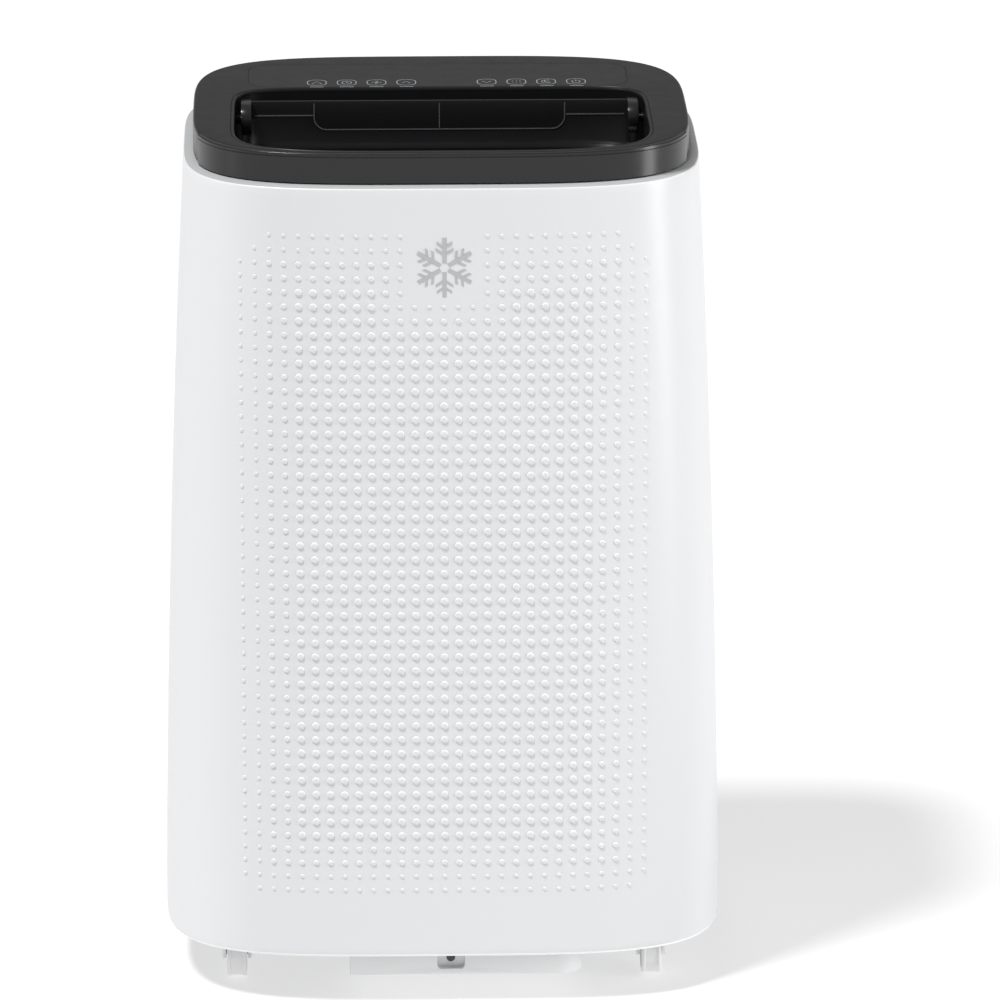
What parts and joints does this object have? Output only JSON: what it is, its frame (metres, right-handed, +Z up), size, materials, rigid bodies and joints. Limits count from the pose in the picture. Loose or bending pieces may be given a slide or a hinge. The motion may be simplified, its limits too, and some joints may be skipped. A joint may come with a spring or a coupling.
{
  "type": "portable air conditioner",
  "caption": "Upright white portable air conditioner on swivel casters, with a dotted front, a dark top with a swing flap over the air outlet, and touch keys behind it.",
  "frame": {"origin": "on the floor, under the middle of the casing's plan", "axes": "+Z up, the front faces -Y, +X is to the right of somebody who looks at the front"},
  "size_m": [0.44, 0.36, 0.684],
  "materials": {
    "casing_white": "satin white ABS, lightly textured",
    "grille_white": "satin white ABS",
    "caster_white": "satin white nylon",
    "skirt_white": "satin white ABS",
    "handle_grey": "matt light grey ABS",
    "cover_black": "satin near-black ABS",
    "fascia_black": "gloss near-black ABS",
    "flap_black": "semi-gloss black ABS",
    "outlet_black": "matt black PP",
    "control_overlay": "smooth near-black polycarbonate film",
    "board_green": "solder-masked board",
    "blower_plastic": "matt grey PP",
    "blower_wheel": "matt black PP",
    "pan_grey": "matt grey PP",
    "motor_steel": "zinc-plated steel",
    "axle_steel": "bright steel",
    "coil_aluminium": "bare fins",
    "can_aluminium": "drawn can",
    "compressor_black": "gloss black enamel",
    "pipe_copper": "drawn copper",
    "rubber_black": "matt",
    "filter_net": "woven nylon net",
    "box_grey": "matt light grey"
  },
  "bodies": {
    "casing": {"base_pan": "pan_grey", "compressor": "compressor_black", "compressor_mount": "rubber_black", "condenser_coil": "coil_aluminium", "condenser_motor": "motor_steel", "condenser_scroll": "blower_plastic", "control_board": "board_green", "control_lens": "control_overlay", "cord_gland": "rubber_black", "cover_fascia": "fascia_black", "discharge_pipe": "pipe_copper", "drain_skirt": "skirt_white", "electric_box": "box_grey", "evaporator_coil": "coil_aluminium", "evaporator_motor": "motor_steel", "evaporator_scroll": "blower_plastic", "exhaust_collar": "box_grey", "exhaust_duct": "blower_plastic", "flap_motor": "motor_steel", "front_panel": "casing_white", "handle_cup_left": "handle_grey", "handle_cup_right": "handle_grey", "mid_deck": "pan_grey", "outlet_duct": "outlet_black", "outlet_well": "outlet_black", "rear_housing": "casing_white", "run_capacitor": "can_aluminium", "skirt_screw": "axle_steel", "slinger_motor": "motor_steel", "suction_pipe": "pipe_copper", "top_cover": "cover_black"},
    "flap": {"swing_flap": "flap_black"},
    "vane_1": {"guide_vane_1": "outlet_black"},
    "vane_2": {"guide_vane_2": "outlet_black"},
    "vane_3": {"guide_vane_3": "outlet_black"},
    "vane_4": {"guide_vane_4": "outlet_black"},
    "vane_5": {"guide_vane_5": "outlet_black"},
    "vane_6": {"guide_vane_6": "outlet_black"},
    "link_bar": {"vane_link_bar": "outlet_black"},
    "evaporator_fan": {"evaporator_wheel": "blower_wheel"},
    "condenser_fan": {"condenser_wheel": "blower_wheel"},
    "slinger": {"slinger_wheel": "blower_plastic"},
    "front_left_fork": {"caster_fork_front_left": "caster_white", "caster_axle_front_left": "axle_steel"},
    "front_left_wheel": {"caster_wheel_front_left": "caster_white"},
    "front_right_fork": {"caster_fork_front_right": "caster_white", "caster_axle_front_right": "axle_steel"},
    "front_right_wheel": {"caster_wheel_front_right": "caster_white"},
    "rear_left_fork": {"caster_fork_rear_left": "caster_white", "caster_axle_rear_left": "axle_steel"},
    "rear_left_wheel": {"caster_wheel_rear_left": "caster_white"},
    "rear_right_fork": {"caster_fork_rear_right": "caster_white", "caster_axle_rear_right": "axle_steel"},
    "rear_right_wheel": {"caster_wheel_rear_right": "caster_white"},
    "upper_filter": {"upper_intake_grille": "grille_white", "upper_filter_mesh": "filter_net"},
    "lower_filter": {"lower_intake_grille": "grille_white", "lower_filter_mesh": "filter_net"},
    "upper_cap": {"upper_drain_cap": "rubber_black"},
    "lower_plug": {"lower_drain_plug": "rubber_black"}
  },
  "joints": [
    {"name": "flap_swing", "type": "hinge", "parent": "casing", "child": "flap", "pos_m": [0, 0.012, 0.669], "axis": [1, 0, 0], "range_deg": [0, 70]},
    {"name": "vane_1_turn", "type": "hinge", "parent": "casing", "child": "vane_1", "pos_m": [-0.085, 0, 0.61], "axis": [0, 1, 0], "range_deg": [-25, 25]},
    {"name": "vane_2_turn", "type": "hinge", "parent": "casing", "child": "vane_2", "pos_m": [-0.051, 0, 0.61], "axis": [0, 1, 0], "range_deg": [-25, 25]},
    {"name": "vane_3_turn", "type": "hinge", "parent": "casing", "child": "vane_3", "pos_m": [-0.017, 0, 0.61], "axis": [0, 1, 0], "range_deg": [-25, 25]},
    {"name": "vane_4_turn", "type": "hinge", "parent": "casing", "child": "vane_4", "pos_m": [0.017, 0, 0.61], "axis": [0, 1, 0], "range_deg": [-25, 25]},
    {"name": "vane_5_turn", "type": "hinge", "parent": "casing", "child": "vane_5", "pos_m": [0.051, 0, 0.61], "axis": [0, 1, 0], "range_deg": [-25, 25]},
    {"name": "vane_6_turn", "type": "hinge", "parent": "casing", "child": "vane_6", "pos_m": [0.085, 0, 0.61], "axis": [0, 1, 0], "range_deg": [-25, 25]},
    {"name": "link_bar_turn", "type": "hinge", "parent": "vane_1", "child": "link_bar", "pos_m": [-0.085, 0, 0.626], "axis": [0, 1, 0], "range_deg": [-25, 25]},
    {"name": "evaporator_wheel_spin", "type": "hinge", "parent": "casing", "child": "evaporator_fan", "pos_m": [0, -0.065, 0.495], "axis": [0, 1, 0], "continuous": true},
    {"name": "condenser_wheel_spin", "type": "hinge", "parent": "casing", "child": "condenser_fan", "pos_m": [0.085, -0.0625, 0.15], "axis": [0, 1, 0], "continuous": true},
    {"name": "slinger_wheel_spin", "type": "hinge", "parent": "casing", "child": "slinger", "pos_m": [-0.085, 0.049, 0.085], "axis": [0, 1, 0], "continuous": true},
    {"name": "front_left_swivel", "type": "hinge", "parent": "casing", "child": "front_left_fork", "pos_m": [-0.164, -0.115, 0.0415], "axis": [0, 0, 1], "continuous": true},
    {"name": "front_left_roll", "type": "hinge", "parent": "front_left_fork", "child": "front_left_wheel", "pos_m": [-0.164, -0.103, 0.019], "axis": [1, 0, 0], "continuous": true},
    {"name": "front_right_swivel", "type": "hinge", "parent": "casing", "child": "front_right_fork", "pos_m": [0.164, -0.115, 0.0415], "axis": [0, 0, 1], "continuous": true},
    {"name": "front_right_roll", "type": "hinge", "parent": "front_right_fork", "child": "front_right_wheel", "pos_m": [0.164, -0.103, 0.019], "axis": [1, 0, 0], "continuous": true},
    {"name": "rear_left_swivel", "type": "hinge", "parent": "casing", "child": "rear_left_fork", "pos_m": [-0.164, 0.115, 0.0415], "axis": [0, 0, 1], "continuous": true},
    {"name": "rear_left_roll", "type": "hinge", "parent": "rear_left_fork", "child": "rear_left_wheel", "pos_m": [-0.164, 0.127, 0.019], "axis": [1, 0, 0], "continuous": true},
    {"name": "rear_right_swivel", "type": "hinge", "parent": "casing", "child": "rear_right_fork", "pos_m": [0.164, 0.115, 0.0415], "axis": [0, 0, 1], "continuous": true},
    {"name": "rear_right_roll", "type": "hinge", "parent": "rear_right_fork", "child": "rear_right_wheel", "pos_m": [0.164, 0.127, 0.019], "axis": [1, 0, 0], "continuous": true},
    {"name": "upper_filter_pull", "type": "slide", "parent": "casing", "child": "upper_filter", "axis": [0, 1, 0], "range_m": [0, 0.05]},
    {"name": "lower_filter_pull", "type": "slide", "parent": "casing", "child": "lower_filter", "axis": [0, 1, 0], "range_m": [0, 0.05]},
    {"name": "upper_cap_pull", "type": "slide", "parent": "casing", "child": "upper_cap", "axis": [0, 1, 0], "range_m": [0, 0.03]},
    {"name": "lower_plug_pull", "type": "slide", "parent": "casing", "child": "lower_plug", "axis": [0, 1, 0], "range_m": [0, 0.03]}
  ],
  "couplings": [
    {"joint": "vane_2_turn", "follows": "vane_1_turn", "ratio": 1},
    {"joint": "vane_3_turn", "follows": "vane_1_turn", "ratio": 1},
    {"joint": "vane_4_turn", "follows": "vane_1_turn", "ratio": 1},
    {"joint": "vane_5_turn", "follows": "vane_1_turn", "ratio": 1},
    {"joint": "vane_6_turn", "follows": "vane_1_turn", "ratio": 1},
    {"joint": "link_bar_turn", "follows": "vane_1_turn", "ratio": -1}
  ]
}
